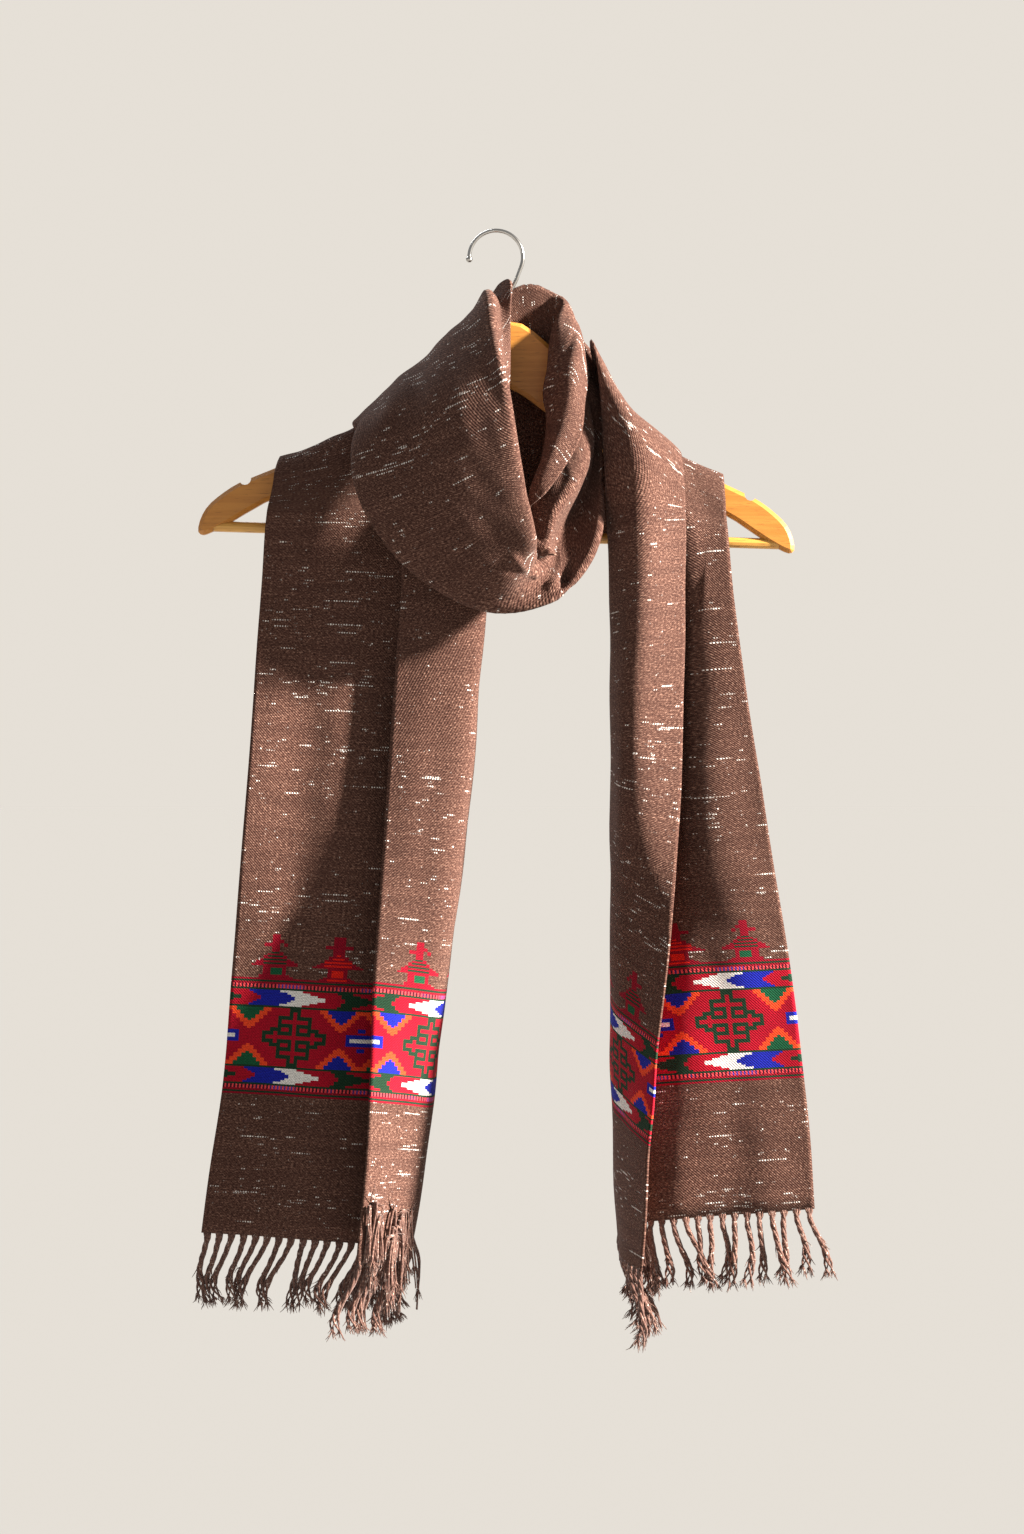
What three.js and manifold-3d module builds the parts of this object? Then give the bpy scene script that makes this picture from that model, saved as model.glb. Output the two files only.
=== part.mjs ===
// A long woven wool scarf wound once round the hook of a wooden coat hanger.
// Millimetres, +Z up, the viewer at -Y. The origin is the inside top of the hook.

import * as THREE from 'three';
import * as BufferGeometryUtils from 'three/addons/utils/BufferGeometryUtils.js';
import Module from 'manifold-3d';

const wasm = await Module();
wasm.setup();

// Driving sizes
const clothWall = 1.9;          // thickness of the woven cloth
const seamGap = 0.3;            // space left between neighbouring pieces
const stripHeight = 4;          // the strip along each hem that carries the tassels
const tasselPitch = 9;          // along the hem
const tasselWidth = 4.2;
const tasselLength = 54;        // of a plain tassel
const longTassel = 57;          // of those at the folded side
const stepsAlong = 2;           // wall steps between two sections
const stepsAcross = 24;         // wall steps from selvedge to selvedge

const hangerThickness = 10;
const hangerTilt = 1.8;         // degrees, the right arm hangs lower
const hangerTop = new THREE.Vector3(5.2, 0, -66.8);
const barRadius = 4;
const barDrop = 159.2;          // below the top of the hanger
const barHalfLength = 211;
const wireRadius = 1.5;
const hookRadius = 20;          // of the wire's centreline

// Seven lines run along the whole scarf, from the hem of one end to the hem of the other:
// edge    the outer selvedge
// rim     where the open panel ends
// hollow  one side of the deep fold, or the valley of the collar
// crest   its other side, or the ridge of the collar
// fold    where the cloth turns back on itself
// swell   the middle of the part folded over
// lip     the inner selvedge
const lines = ['edge', 'rim', 'hollow', 'crest', 'fold', 'swell', 'lip'];

// The two hanging ends, a row for each section from the hem up. z is the height at the edge, and
// each drop is how far a line lies below it. back is how deep the fold behind is, out is how far
// the swell stands in front of the straight line from fold to lip, and at is where along it.
const panelY = -9;
const tailColumns = ['z', 'edge', 'rim', 'rimDrop', 'back', 'fold', 'foldY', 'foldDrop',
  'lip', 'lipY', 'lipDrop', 'out', 'at'];
const leftTail = [
  [-745, -219, -97, 8, 40, -66, -5, 18, -100, -61, 13, 4, 0.5],
  [-699, -213, -92, 7, 40, -57, -6, 12, -96, -60, 7, 4, 0.5],
  [-641, -204, -88, 6, 39, -49, -8, 11, -92, -57, 2, 4, 0.5],
  [-554, -196, -82, 6, 38, -39, -10, 10, -89, -53, 2, 4, 0.5],
  [-476, -189, -76, 6, 36, -29, -11, 10, -84, -50, 4, 4, 0.5],
  [-394, -182, -70, 5, 28, -20, -12, 9, -79, -46, 4, 5, 0.5],
  [-319, -177, -65, 5, 8, -12, -13, 8, -74, -42, 5, 6, 0.5],
  [-264, -173, -62, 3, -9, -6, -15, 7, -70, -31, 5, 4, 0.5],
  [-210, -169, -61, 0, -12, -4, -16, 2, -68, -22, 2, 2, 0.5],
];
const rightTail = [
  [-725, 235, 115, 12, 40, 92, -6, 34, 105, -74, 38, 3, 0.5],
  [-676, 232, 119, 10, 40, 89, -6, 31, 109, -71, 42, 3, 0.5],
  [-628, 227, 125, 8, 39, 88, -6, 26, 112, -68, 45, 3, 0.5],
  [-540, 216, 134, 6, 38, 86, -6, 29, 118, -66, 55, 3, 0.5],
  [-474, 205, 144, 5, 38, 86, -8, 17, 127, -60, 47, 4, 0.55],
  [-409, 195, 147, 4, 34, 86, -10, 7, 135, -42, 23, 18, 0.6],
  [-342, 184, 152, 3, 16, 86, -14, 4, 138, -34, 0, 16, 0.35],
  [-275, 176, 153, 1, -10, 85, -20, 4, 140, -30, -5, 12, 0.4],
  [-223, 172, 153, 0, -14, 82, -25, 3, 140, -27, -5, 12, 0.4],
];

// The wound stretches, a row for each section, each line as [x, y, z].
const overLeftArm = [
  { edge: [-163, -9, -183], rim: [-111, -9, -163], hollow: [-84, -9, -144], crest: [-59, -10, -120],
    fold: [-37, -11, -98], swell: [-31, -17, -94], lip: [-26, -14, -84] },
  { edge: [-159, 0, -168], rim: [-109, 0, -148], hollow: [-82, 0, -129], crest: [-57, 0, -106],
    fold: [-36, 0, -85], swell: [-27, 0, -76], lip: [-18, 0, -67] },
  { edge: [-155, 9, -179], rim: [-106, 9, -156], hollow: [-79, 9, -137], crest: [-54, 9, -112],
    fold: [-33, 9, -88], swell: [-24, 11, -79], lip: [-16, 13, -70] },
];
const behindInner = [
  { edge: [-128, 11, -194], rim: [-96, 11, -168], hollow: [-68, 11, -145], crest: [-42, 11, -118],
    fold: [-18, 12, -78], swell: [-12, 16, -72], lip: [-9, 21, -74] },
  { edge: [-52, 17, -196], rim: [-38, 15, -165], hollow: [-25, 14, -135], crest: [-14, 12, -102],
    fold: [-2, 10, -57], swell: [-2, 16, -70], lip: [-3, 21, -92] },
  { edge: [30, 18, -190], rim: [30, 16, -160], hollow: [30, 14, -130], crest: [29, 12, -96],
    fold: [25, 8, -40], swell: [30, 15, -60], lip: [33, 20, -86] },
];
const collar = [
  { edge: [84, 12, -154], rim: [74, 11, -140], hollow: [65, 11, -127], crest: [53, 9, -108],
    fold: [43, 8, -45], swell: [53, 16, -62], lip: [59, 20, -92] },
  { edge: [94, 0, -136], rim: [81, 0, -121], hollow: [70, -1, -110], crest: [57, -4, -94],
    fold: [51, 0, -51], swell: [61, 5, -68], lip: [68, 9, -95] },
  { edge: [88, -9, -150], rim: [80, -10, -140], hollow: [71, -12, -128], crest: [63, -14, -117],
    fold: [42, -9, -72], swell: [60, -20, -79], lip: [68, -12, -108] },
  { edge: [74, -11, -169], rim: [75, -17, -163], hollow: [73, -21, -151], crest: [69, -25, -141],
    fold: [38, -20, -107], swell: [56, -35, -103], lip: [65, -32, -128] },
  { edge: [68, -12, -202], rim: [76, -25, -197], hollow: [72, -35, -181], crest: [67, -42, -172],
    fold: [37, -33, -144], swell: [50, -46, -142], lip: [62, -48, -158] },
  { edge: [63, -17, -226], rim: [76, -35, -229], hollow: [64, -46, -203], crest: [58, -54, -191],
    fold: [33, -43, -176], swell: [40, -56, -172], lip: [49, -60, -183] },
  { edge: [54, -23, -246], rim: [64, -46, -258], hollow: [48, -55, -230], crest: [42, -62, -217],
    fold: [25, -49, -204], swell: [29, -60, -196], lip: [34, -65, -202] },
];
const crumple = [
  { edge: [36, -30, -262], rim: [42, -60, -277], hollow: [38, -57, -256], crest: [33, -66, -245],
    fold: [26, -60, -233], swell: [20, -56, -222], lip: [16, -52, -212] },
];
const cowl = [
  { edge: [3, -32, -268], rim: [-4, -56, -286], hollow: [6, -74, -270], crest: [17, -81, -253],
    fold: [25, -75, -236], swell: [17, -65, -222], lip: [10, -56, -210] },
  { edge: [-43, -38, -238], rim: [-65, -50, -254], hollow: [-40, -74, -244], crest: [-10, -86, -225],
    fold: [18, -77, -201], swell: [14, -65, -192], lip: [9, -52, -180] },
  { edge: [-72, -36, -190], rim: [-100, -42, -201], hollow: [-68, -68, -193], crest: [-27, -84, -176],
    fold: [10, -74, -160], swell: [11, -58, -154], lip: [9, -44, -144] },
  { edge: [-92, -21, -164], rim: [-106, -26, -158], hollow: [-73, -54, -149], crest: [-31, -74, -133],
    fold: [4, -62, -117], swell: [9, -46, -110], lip: [8, -32, -104] },
  { edge: [-107, -3, -143], rim: [-90, -4, -128], hollow: [-62, -24, -112], crest: [-32, -44, -98],
    fold: [-1, -42, -82], swell: [5, -28, -74], lip: [7, -16, -68] },
];
const behindOuter = [
  { edge: [-97, 17, -137], rim: [-71, 16, -112], hollow: [-46, 9, -87], crest: [-25, 2, -66],
    fold: [-6, -9, -52], swell: [1, -6, -43], lip: [6, -2, -39] },
  { edge: [-72, 27, -190], rim: [-58, 28, -160], hollow: [-44, 29, -128], crest: [-29, 28, -96],
    fold: [-13, 23, -62], swell: [-6, 22, -50], lip: [0, 18, -44] },
  { edge: [8, 34, -215], rim: [11, 34, -180], hollow: [14, 34, -145], crest: [17, 32, -108],
    fold: [21, 29, -62], swell: [25, 37, -68], lip: [27, 41, -88] },
  { edge: [92, 26, -225], rim: [86, 26, -192], hollow: [79, 27, -160], crest: [72, 27, -126],
    fold: [60, 24, -74], swell: [72, 33, -90], lip: [82, 35, -122] },
];
const overRightArm = [
  { edge: [150, 12, -204], rim: [126, 12, -184], hollow: [108, 12, -168], crest: [92, 14, -138],
    fold: [74, 16, -94], swell: [92, 23, -116], lip: [114, 22, -156] },
  { edge: [165, 9, -193], rim: [128, 9, -173], hollow: [106, 9, -157], crest: [86, 9, -124],
    fold: [71, 9, -85], swell: [93, 16, -122], lip: [127, 14, -163] },
  { edge: [168, 0, -182], rim: [128, 0, -163], hollow: [106, 0, -147], crest: [85, -1, -114],
    fold: [71, -3, -80], swell: [94, -1, -123], lip: [135, -1, -163] },
  { edge: [170, -10, -198], rim: [142, -9, -182], hollow: [116, -13, -166], crest: [95, -18, -144],
    fold: [77, -23, -114], swell: [97, -33, -140], lip: [138, -19, -177] },
];

// One section of a hanging end, worked out from its row.
function tailSection(values) {
  const row = Object.fromEntries(tailColumns.map((name, i) => [name, values[i]]));
  const hollowShare = 0.2;
  const crestShare = 0.8;
  const width = row.fold - row.rim;
  const rimZ = row.z - row.rimDrop;
  const foldZ = row.z - row.foldDrop;
  const lipZ = row.z - row.lipDrop;
  const along = new THREE.Vector2(row.lip - row.fold, row.lipY - row.foldY);
  const out = new THREE.Vector2(along.y, -along.x).normalize();
  if (out.y > 0) out.negate();
  const swell = new THREE.Vector2(row.fold, row.foldY).addScaledVector(along, row.at)
    .addScaledVector(out, row.out);
  return {
    edge: [row.edge, panelY, row.z],
    rim: [row.rim, panelY, rimZ],
    hollow: [row.rim + width * hollowShare, row.back, (rimZ + foldZ) / 2],
    crest: [row.rim + width * crestShare, row.back, (rimZ + foldZ) / 2],
    fold: [row.fold, row.foldY, foldZ],
    swell: [swell.x, swell.y, foldZ + (lipZ - foldZ) * row.at],
    lip: [row.lip, row.lipY, lipZ],
  };
}

const stretches = [
  { name: 'tail_left', sections: [...leftTail.map(tailSection), ...overLeftArm] },
  { name: 'back_wrap_inner', sections: behindInner },
  { name: 'collar_right', sections: collar },
  { name: 'cowl_left', sections: [...crumple, ...cowl] },
  { name: 'back_wrap_outer', sections: behindOuter },
  { name: 'tail_right', sections: [...overRightArm, ...rightTail.map(tailSection).reverse()] },
];
const sections = stretches.flatMap((stretch) => stretch.sections);
const lastSection = sections.length - 1;

// Each line is a smooth curve through its points, and the cloth is smooth across the lines.
const lineCurves = lines.map((name) => {
  const points = sections.map((section) => new THREE.Vector3(...section[name]));
  return new THREE.CatmullRomCurve3(points, false, 'centripetal');
});

function acrossCurve(v) {
  const points = lineCurves.map((curve) => curve.getPoint(THREE.MathUtils.clamp(v / lastSection, 0, 1)));
  return new THREE.CatmullRomCurve3(points, false, 'centripetal');
}

function clothRow(v) {
  return acrossCurve(v).getPoints(stepsAcross);
}

// Moves a wall's end row towards the row next to it, square to the end row, a little over half a
// seam gap because the wall's inner side is the shorter one where the cloth curls.
function pullBack(rows, end, next) {
  const moved = rows[end].map((point, i) => {
    const row = rows[end];
    const across = row[Math.min(i + 1, row.length - 1)].clone().sub(row[Math.max(i - 1, 0)]).normalize();
    const inward = rows[next][i].clone().sub(point);
    inward.addScaledVector(across, -inward.dot(across)).setLength(0.8 * seamGap);
    return point.clone().add(inward);
  });
  rows[end] = moved;
}

// A wall between the sections at from and to. Its ends stand half a seam gap clear of them.
function clothWallGeometry(from, to, clearFrom, clearTo) {
  const count = Math.max(1, Math.round((to - from) * stepsAlong));
  const values = Array.from({ length: count + 1 }, (_, i) => from + (to - from) * i / count);
  const rows = values.map(clothRow);
  const small = 0.02;
  const normals = values.map((v) => {
    const before = clothRow(Math.max(0, v - small));
    const after = clothRow(Math.min(lastSection, v + small));
    const row = clothRow(v);
    return row.map((point, i) => {
      const across = row[Math.min(i + 1, row.length - 1)].clone().sub(row[Math.max(i - 1, 0)]);
      const along = after[i].clone().sub(before[i]);
      return across.cross(along).normalize();
    });
  });
  if (clearFrom) pullBack(rows, 0, 1);
  if (clearTo) pullBack(rows, count, count - 1);

  const positions = [];
  for (const side of [0.5, -0.5]) {
    rows.forEach((row, j) => row.forEach((point, i) => {
      const moved = point.clone().addScaledVector(normals[j][i], side * clothWall);
      positions.push(moved.x, moved.y, moved.z);
    }));
  }
  const width = stepsAcross + 1;
  const half = (count + 1) * width;
  const index = [];
  const quad = (a, b, c, d) => index.push(a, b, c, a, c, d);
  for (let j = 0; j < count; j += 1) {
    for (let i = 0; i < stepsAcross; i += 1) {
      const a = j * width + i;
      quad(a, a + 1, a + 1 + width, a + width);
      quad(half + a, half + a + width, half + a + 1 + width, half + a + 1);
    }
    const left = j * width;
    const right = left + stepsAcross;
    quad(left, left + width, half + left + width, half + left);
    quad(right, half + right, half + right + width, right + width);
  }
  for (let i = 0; i < stepsAcross; i += 1) {
    const bottom = i;
    const top = count * width + i;
    quad(bottom, half + bottom, half + bottom + 1, bottom + 1);
    quad(top, top + 1, half + top + 1, half + top);
  }
  const geometry = new THREE.BufferGeometry();
  geometry.setAttribute('position', new THREE.Float32BufferAttribute(positions, 3));
  geometry.setIndex(index);
  return geometry;
}

// Joins and cuts
function toSolid(geometry) {
  const bare = geometry.clone();
  bare.deleteAttribute('normal');
  bare.deleteAttribute('uv');
  const merged = BufferGeometryUtils.mergeVertices(bare, 1e-4);
  return new wasm.Manifold(new wasm.Mesh({
    numProp: 3,
    vertProperties: new Float32Array(merged.attributes.position.array),
    triVerts: new Uint32Array(merged.index.array),
  }));
}

function toGeometry(solid) {
  const mesh = solid.getMesh();
  const geometry = new THREE.BufferGeometry();
  geometry.setAttribute('position', new THREE.BufferAttribute(mesh.vertProperties, 3));
  geometry.setIndex(new THREE.BufferAttribute(mesh.triVerts, 1));
  return geometry;
}

// A three-sided lock of twisted yarn that hangs from root along lean, widest near its knot.
function tasselGeometry(root, lean, length, turn) {
  const rings = [
    { down: -0.03, width: 0.55 },
    { down: 0.1, width: 1 },
    { down: 0.6, width: 0.85 },
    { down: 1, width: 0.45 },
  ];
  const sides = 3;
  const positions = [];
  rings.forEach((ring) => {
    const sway = ring.down * ring.down;
    for (let k = 0; k < sides; k += 1) {
      const angle = turn + (2 * Math.PI * k) / sides;
      positions.push(
        root.x + lean.x * length * sway + 0.5 * tasselWidth * ring.width * Math.cos(angle),
        root.y + lean.y * length * sway + 0.5 * tasselWidth * ring.width * Math.sin(angle),
        root.z - length * ring.down,
      );
    }
  });
  const index = [];
  for (let r = 0; r < rings.length - 1; r += 1) {
    for (let k = 0; k < sides; k += 1) {
      const a = r * sides + k;
      const b = r * sides + ((k + 1) % sides);
      index.push(a, a + sides, b, b, a + sides, b + sides);
    }
  }
  const last = (rings.length - 1) * sides;
  index.push(0, 1, 2, last, last + 2, last + 1);
  const geometry = new THREE.BufferGeometry();
  geometry.setAttribute('position', new THREE.Float32BufferAttribute(positions, 3));
  geometry.setIndex(index);
  return geometry;
}

// The tassels of one end, fused to the narrow strip along its hem.
function fringeGeometry(hemAt, stripAt, leanX) {
  const strip = clothWallGeometry(Math.min(hemAt, stripAt), Math.max(hemAt, stripAt),
    stripAt < hemAt, stripAt > hemAt);
  const hem = new THREE.CurvePath();
  const hemRow = clothRow(hemAt);
  hemRow.slice(1).forEach((point, i) => hem.add(new THREE.LineCurve3(hemRow[i], point)));
  const count = Math.floor(hem.getLength() / tasselPitch) - 1;
  let solid = toSolid(strip);
  for (let k = 0; k <= count; k += 1) {
    const share = (0.5 + k) / (count + 1);
    const root = hem.getPointAt(share);
    const folded = THREE.MathUtils.smoothstep(share, 0.72, 0.95);
    const uneven = Math.sin(k * 2.4) * 3;
    const length = THREE.MathUtils.lerp(tasselLength, longTassel, folded) + uneven;
    const lean = new THREE.Vector2(leanX * (1 - 0.4 * folded), 0.02 * Math.sin(k * 1.7));
    solid = solid.add(toSolid(tasselGeometry(root, lean, length, k * 0.9)));
  }
  return toGeometry(solid);
}

// The wooden hanger: half of its outline, from the middle of the neck out to the tip and back,
// as distance from the middle and depth below the top.
function hangerOutline() {
  const topOfArm = [[34, 15.5], [45, 27], [60, 44.5], [75, 59.5], [90, 73.5], [114, 90],
    [140, 102.5], [164, 113.5]];
  const tip = [[181, 121], [194, 127], [205, 134.5], [215, 143.5], [220.5, 153],
    [222.5, 163], [219, 166], [213, 164]];
  const underArm = [[199, 156.5], [170, 138.6], [140, 127], [110, 113], [60, 84], [19, 56]];
  const shape = new THREE.Shape();
  const side = (sign, points) => points.map(([x, down]) => new THREE.Vector2(sign * x, -down));
  shape.moveTo(0, 0);
  shape.splineThru(side(1, [[15, 1.5], ...topOfArm, ...tip]));
  shape.splineThru(side(1, underArm));
  shape.splineThru([new THREE.Vector2(0, -47.5), ...side(-1, [...underArm].reverse())]);
  shape.splineThru(side(-1, [[15, 1.5], ...topOfArm, ...tip].reverse()));
  return shape;
}

function hangerBodyGeometry() {
  const bevel = 3;
  const body = new THREE.ExtrudeGeometry(hangerOutline(), {
    depth: hangerThickness - 2 * bevel,
    bevelEnabled: true,
    bevelThickness: bevel,
    bevelSize: bevel,
    bevelOffset: -bevel,
    bevelSegments: 1,
    curveSegments: 2,
  });
  body.rotateX(Math.PI / 2);
  body.translate(0, hangerThickness / 2 - bevel, 0);
  const socket = barGeometry(barRadius + seamGap, barHalfLength + seamGap, 16);
  let solid = toSolid(body).subtract(toSolid(socket));
  for (const sign of [-1, 1]) {
    const notch = new THREE.CylinderGeometry(4.5, 4.5, 2 * hangerThickness, 12);
    notch.translate(sign * 188.5, 0, -123.5);
    solid = solid.subtract(toSolid(notch));
  }
  return toGeometry(solid);
}

function barGeometry(radius, halfLength, sides) {
  const bar = new THREE.CylinderGeometry(radius, radius, 2 * halfLength, sides);
  bar.rotateZ(Math.PI / 2);
  bar.translate(0, 0, -barDrop);
  return bar;
}

// The steel wire: a round hook with a small ball at its open end, and the stem down to the wood.
function hookGeometry() {
  const centre = new THREE.Vector2(0, -(hookRadius - wireRadius));
  const arc = [];
  for (let degrees = 184; degrees >= -20; degrees -= 17) {
    const angle = THREE.MathUtils.degToRad(degrees);
    const x = centre.x + hookRadius * Math.cos(angle);
    arc.push(new THREE.Vector3(x, 0, centre.y + hookRadius * Math.sin(angle)));
  }
  const stem = [[15.2, -35], [10.6, -44], [6.8, -54], [5.2, -66.2]];
  const path = new THREE.CatmullRomCurve3([...arc, ...stem.map(([x, z]) => new THREE.Vector3(x, 0, z))]);
  const section = new THREE.Shape().absarc(0, 0, wireRadius, 0, 2 * Math.PI);
  const sweep = { steps: 40, curveSegments: 4, extrudePath: path, bevelEnabled: false };
  const wire = new THREE.ExtrudeGeometry(section, sweep);
  const ball = new THREE.SphereGeometry(2.4, 10, 8);
  ball.translate(arc[0].x, 0, arc[0].z);
  return toGeometry(toSolid(wire).add(toSolid(ball)));
}

// The scarf on its hanger
const clothColour = new THREE.MeshStandardMaterial({ color: 0x6b4a42, roughness: 0.95, metalness: 0 });
const fringeColour = new THREE.MeshStandardMaterial({ color: 0x7a574c, roughness: 0.95, metalness: 0 });
const woodColour = new THREE.MeshStandardMaterial({ color: 0xd39a45, roughness: 0.45, metalness: 0 });
const steelColour = new THREE.MeshStandardMaterial({ color: 0xc4c2bd, roughness: 0.25, metalness: 1 });

const scarf = new THREE.Group();

function place(name, geometry, material, parent = scarf) {
  const mesh = new THREE.Mesh(geometry, material);
  mesh.name = name;
  parent.add(mesh);
  return mesh;
}

// How far along the first or last segment the tassels' strip ends.
const hemStrip = stripHeight / lineCurves[0].points[0].distanceTo(lineCurves[0].points[1]);

let start = 0;
stretches.forEach((stretch, k) => {
  const first = k === 0;
  const last = k === stretches.length - 1;
  const from = first ? hemStrip : start;
  const end = start + stretch.sections.length;
  const to = last ? lastSection - hemStrip : end;
  place(stretch.name, clothWallGeometry(from, to, true, true), clothColour);
  start = end;
});
place('fringe_left', fringeGeometry(0, hemStrip, -0.16), fringeColour);
place('fringe_right', fringeGeometry(lastSection, lastSection - hemStrip, 0.12), fringeColour);

const hanger = new THREE.Group();
hanger.position.copy(hangerTop);
hanger.rotation.y = THREE.MathUtils.degToRad(hangerTilt);
scarf.add(hanger);
place('hanger_body', hangerBodyGeometry(), woodColour, hanger);
place('trouser_bar', barGeometry(barRadius, barHalfLength, 12), woodColour, hanger);
place('hook', hookGeometry(), steelColour);

export default scarf;
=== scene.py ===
# A woven wool scarf wound round the hook of a wooden hanger, in metres, in the frame of the CAD part.
import math
import random

import bmesh
import bpy
import numpy as np
from mathutils import Matrix, Vector


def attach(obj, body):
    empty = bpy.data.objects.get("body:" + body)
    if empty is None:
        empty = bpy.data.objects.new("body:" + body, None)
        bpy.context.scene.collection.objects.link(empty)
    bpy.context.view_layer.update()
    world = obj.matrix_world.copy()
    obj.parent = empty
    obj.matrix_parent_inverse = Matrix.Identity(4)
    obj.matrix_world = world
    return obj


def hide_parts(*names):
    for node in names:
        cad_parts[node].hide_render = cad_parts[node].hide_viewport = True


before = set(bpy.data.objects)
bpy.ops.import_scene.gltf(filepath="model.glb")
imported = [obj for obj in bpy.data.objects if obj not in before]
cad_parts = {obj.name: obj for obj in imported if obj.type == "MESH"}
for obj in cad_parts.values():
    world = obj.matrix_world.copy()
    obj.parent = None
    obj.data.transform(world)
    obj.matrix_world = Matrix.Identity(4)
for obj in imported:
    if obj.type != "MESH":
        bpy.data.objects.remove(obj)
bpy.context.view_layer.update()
print("frame loaded:", len(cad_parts), "nodes")

mm = 0.001
scene = bpy.context.scene

# Shader tools


def feed(tree, node, values):
    # a node's inputs, given as numbers or as other nodes' outputs
    for key, value in values.items():
        if isinstance(value, bpy.types.NodeSocket):
            tree.links.new(value, node.inputs[key])
        else:
            node.inputs[key].default_value = value


def put(tree, kind, values=None, **settings):
    made = tree.nodes.new(kind)
    for name, value in settings.items():
        setattr(made, name, value)
    feed(tree, made, values or {})
    return made


def maths(tree, operation, first, second=0.0, third=0.0, clamp=False):
    values = {0: first, 1: second, 2: third}
    return put(tree, "ShaderNodeMath", values, operation=operation, use_clamp=clamp).outputs[0]


def times(tree, first, second):
    return maths(tree, "MULTIPLY", first, second)


def mixed(tree, factor, first, second, blend="MIX"):
    first, second = [end if isinstance(end, bpy.types.NodeSocket) else (*end, 1.0) for end in (first, second)]
    values = {0: factor, 6: first, 7: second}
    return put(tree, "ShaderNodeMix", values, data_type="RGBA", blend_type=blend).outputs[2]


def noise(tree, vector, scale, detail=2.0, rough=0.5):
    values = {"Vector": vector, "Scale": scale, "Detail": detail, "Roughness": rough}
    return put(tree, "ShaderNodeTexNoise", values, noise_dimensions="3D").outputs["Fac"]


def stepped(tree, value, low, high):
    values = {"Value": value, "From Min": low, "From Max": high}
    return put(tree, "ShaderNodeMapRange", values, interpolation_type="SMOOTHSTEP").outputs["Result"]


def vectorOf(tree, x, y, z=0.0):
    return put(tree, "ShaderNodeCombineXYZ", {0: x, 1: y, 2: z}).outputs[0]


def newGroup(name, inputs, outputs):
    group = bpy.data.node_groups.new(name, "ShaderNodeTree")
    for socketName, kind, value in inputs:
        socket = group.interface.new_socket(socketName, in_out="INPUT", socket_type="NodeSocket" + kind)
        if value is not None:
            socket.default_value = value
    for socketName, kind in outputs:
        group.interface.new_socket(socketName, in_out="OUTPUT", socket_type="NodeSocket" + kind)
    source = group.nodes.new("NodeGroupInput")
    sink = group.nodes.new("NodeGroupOutput")
    return group, source.outputs, sink.inputs


def useGroup(tree, group, values):
    return put(tree, "ShaderNodeGroup", values, node_tree=group).outputs


def newMaterial(name):
    material = bpy.data.materials.new(name)
    material.use_nodes = True
    tree = material.node_tree
    return material, tree, tree.nodes["Principled BSDF"]


def surface(tree, shader, colour, relief, values):
    # relief is a height, its strength and its depth in m
    relief = dict(zip(("Height", "Strength", "Distance"), relief))
    normal = put(tree, "ShaderNodeBump", relief).outputs["Normal"]
    feed(tree, shader, {"Base Color": colour, "Normal": normal, **values})


# Camera, light and ground

view = {
    "place": (0.0119, -2.2, -0.399),
    "lens": 69.15,              # the long side of the frame spans 36 mm
}

cameraData = bpy.data.cameras.new("camera")
cameraData.sensor_width = 36.0
cameraData.lens = view["lens"]
camera = bpy.data.objects.new("camera", cameraData)
camera.location = view["place"]
camera.rotation_euler = (math.radians(90.0), 0.0, 0.0)
scene.collection.objects.link(camera)
scene.camera = camera
scene.view_settings.view_transform = "Standard"

studio = {
    "keyFrom": (75.0, 21.0),    # degrees round from the camera's side to the right, and up
    "keySize": 5.5,             # degrees across, for soft edges to the shadows
    "keyPower": 20.0,
    "keyColour": (1.0, 0.94, 0.86),
    "backFrom": (205.0, 38.0),
    "backSize": 30.0,
    "backPower": 1.6,
    "backColour": (0.94, 0.97, 1.0),
    "skyColour": (0.90, 0.90, 0.90),
    "skyStrength": 0.27,
    "groundColour": (0.280, 0.276, 0.269),
    "groundLevel": -1.28,
    "groundReach": 60.0,
}


def sunLight(name, compass, size, power, colour):
    data = bpy.data.lights.new(name, "SUN")
    data.angle = math.radians(size)
    data.energy = power
    data.color = colour
    turn, rise = (math.radians(angle) for angle in compass)
    source = Vector((math.sin(turn) * math.cos(rise), -math.cos(turn) * math.cos(rise), math.sin(rise)))
    lamp = bpy.data.objects.new(name, data)
    lamp.rotation_euler = (-source).to_track_quat("-Z", "Y").to_euler()
    scene.collection.objects.link(lamp)
    return [power * source.z * channel / math.pi for channel in colour]


def skyWorld(floorGlow):
    # the sky behind the floor has the floor's own tone, so that no line parts them
    world = bpy.data.worlds.new("sky")
    world.use_nodes = True
    tree = world.node_tree
    sky = tree.nodes["Background"]
    feed(tree, sky, {"Color": (*studio["skyColour"], 1.0), "Strength": studio["skyStrength"]})
    seen = put(tree, "ShaderNodeBackground", {"Color": (*floorGlow, 1.0)})
    rays = put(tree, "ShaderNodeLightPath").outputs["Is Camera Ray"]
    either = put(tree, "ShaderNodeMixShader", {0: rays, 1: sky.outputs[0], 2: seen.outputs[0]})
    tree.links.new(either.outputs[0], tree.nodes["World Output"].inputs["Surface"])
    scene.world = world


def linkedObject(name, mesh):
    made = bpy.data.objects.new(name, mesh)
    scene.collection.objects.link(made)
    mesh.polygons.foreach_set("use_smooth", [True] * len(mesh.polygons))
    return made


def meshFrom(bm, name):
    mesh = bpy.data.meshes.new(name)
    bm.to_mesh(mesh)
    bm.free()
    return mesh


def ofKind(elements, kind):
    return [e for e in elements if isinstance(e, kind)]


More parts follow.
